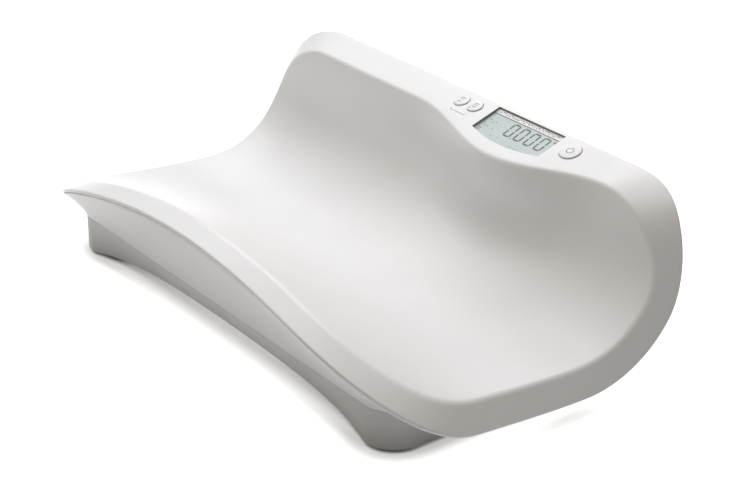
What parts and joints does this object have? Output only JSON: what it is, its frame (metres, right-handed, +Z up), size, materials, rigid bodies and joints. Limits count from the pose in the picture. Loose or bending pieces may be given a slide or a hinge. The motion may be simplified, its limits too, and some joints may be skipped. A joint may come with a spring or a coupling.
{
  "type": "baby weighing scale",
  "caption": "Free-standing digital baby scale: a long curved trough on a low base, with a sloping deck behind it that carries a display window and push buttons",
  "frame": {"origin": "On the ground, under the middle of the overall box", "axes": "+X to the user's right along the trough, +Y from the user's side to the deck along the back, +Z up"},
  "size_m": [0.6002, 0.3411, 0.1664],
  "materials": {
    "tray_shell": "smooth satin white moulding",
    "rim_seal": "thin dark seal",
    "lower_shell": "fine satin light grey moulding",
    "base_frame": "fine satin grey moulding",
    "display_window": "clear pane",
    "legend_strip": "printed strip",
    "lcd_segments": "dark segments",
    "lcd_glass": "grey-green display glass",
    "lcd_frame": "dark holder",
    "main_board": "green circuit board",
    "board_chips": "black chips and plug",
    "board_screws": "small steel screws",
    "guide_left": "white moulding",
    "guide_right": "white moulding",
    "switch_hold": "black switch",
    "switch_tare": "black switch",
    "switch_power": "black switch",
    "button_hold": "satin white cap",
    "button_tare": "satin white cap",
    "button_power": "satin white cap",
    "load_cell_1": "milled bar",
    "load_cell_2": "milled bar",
    "load_cell_3": "milled bar",
    "load_cell_4": "milled bar",
    "foot_socket_1": "dark moulding",
    "foot_socket_2": "dark moulding",
    "foot_socket_3": "dark moulding",
    "foot_socket_4": "dark moulding",
    "foot_screw_1": "plated steel",
    "foot_screw_2": "plated steel",
    "foot_screw_3": "plated steel",
    "foot_screw_4": "plated steel",
    "foot_pad_1": "black rubber",
    "foot_pad_2": "black rubber",
    "foot_pad_3": "black rubber",
    "foot_pad_4": "black rubber",
    "battery_holder": "dark moulding",
    "battery_door": "grey moulding",
    "battery_1": "plain sleeve",
    "battery_2": "plain sleeve",
    "battery_3": "plain sleeve",
    "battery_4": "plain sleeve",
    "battery_5": "plain sleeve",
    "battery_6": "plain sleeve",
    "contacts_left": "plated contact plates",
    "contacts_right": "plated contact plates",
    "case_screws": "steel screws",
    "cell_screws": "steel screws",
    "cell_leads": "thin grey leads",
    "battery_lead": "thin red lead"
  },
  "bodies": {
    "scale": {"tray_shell": "tray_shell", "rim_seal": "rim_seal", "lower_shell": "lower_shell", "base_frame": "base_frame", "display_window": "display_window", "legend_strip": "legend_strip", "lcd_segments": "lcd_segments", "lcd_glass": "lcd_glass", "lcd_frame": "lcd_frame", "main_board": "main_board", "board_chips": "board_chips", "board_screws": "board_screws", "guide_left": "guide_left", "guide_right": "guide_right", "switch_hold": "switch_hold", "switch_tare": "switch_tare", "switch_power": "switch_power", "load_cell_1": "load_cell_1", "load_cell_2": "load_cell_2", "load_cell_3": "load_cell_3", "load_cell_4": "load_cell_4", "foot_socket_1": "foot_socket_1", "foot_socket_2": "foot_socket_2", "foot_socket_3": "foot_socket_3", "foot_socket_4": "foot_socket_4", "foot_screw_1": "foot_screw_1", "foot_screw_2": "foot_screw_2", "foot_screw_3": "foot_screw_3", "foot_screw_4": "foot_screw_4", "foot_pad_1": "foot_pad_1", "foot_pad_2": "foot_pad_2", "foot_pad_3": "foot_pad_3", "foot_pad_4": "foot_pad_4", "battery_holder": "battery_holder", "battery_1": "battery_1", "battery_2": "battery_2", "battery_3": "battery_3", "battery_4": "battery_4", "battery_5": "battery_5", "battery_6": "battery_6", "contacts_left": "contacts_left", "contacts_right": "contacts_right", "case_screws": "case_screws", "cell_screws": "cell_screws", "cell_leads": "cell_leads", "battery_lead": "battery_lead"},
    "hold_cap": {"button_hold": "button_hold"},
    "tare_cap": {"button_tare": "button_tare"},
    "power_cap": {"button_power": "button_power"},
    "door": {"battery_door": "battery_door"}
  },
  "joints": [
    {"name": "hold_press", "type": "slide", "parent": "scale", "child": "hold_cap", "axis": [0, 0.309, -0.9511], "range_m": [0, 0.001], "stiffness_N_per_m": 500, "springref_m": -0.002},
    {"name": "tare_press", "type": "slide", "parent": "scale", "child": "tare_cap", "axis": [0, 0.309, -0.9511], "range_m": [0, 0.001], "stiffness_N_per_m": 500, "springref_m": -0.002},
    {"name": "power_press", "type": "slide", "parent": "scale", "child": "power_cap", "axis": [0, 0.309, -0.9511], "range_m": [0, 0.001], "stiffness_N_per_m": 500, "springref_m": -0.002},
    {"name": "door_slide", "type": "slide", "parent": "scale", "child": "door", "axis": [1, 0, 0], "range_m": [0, 0.109]}
  ]
}
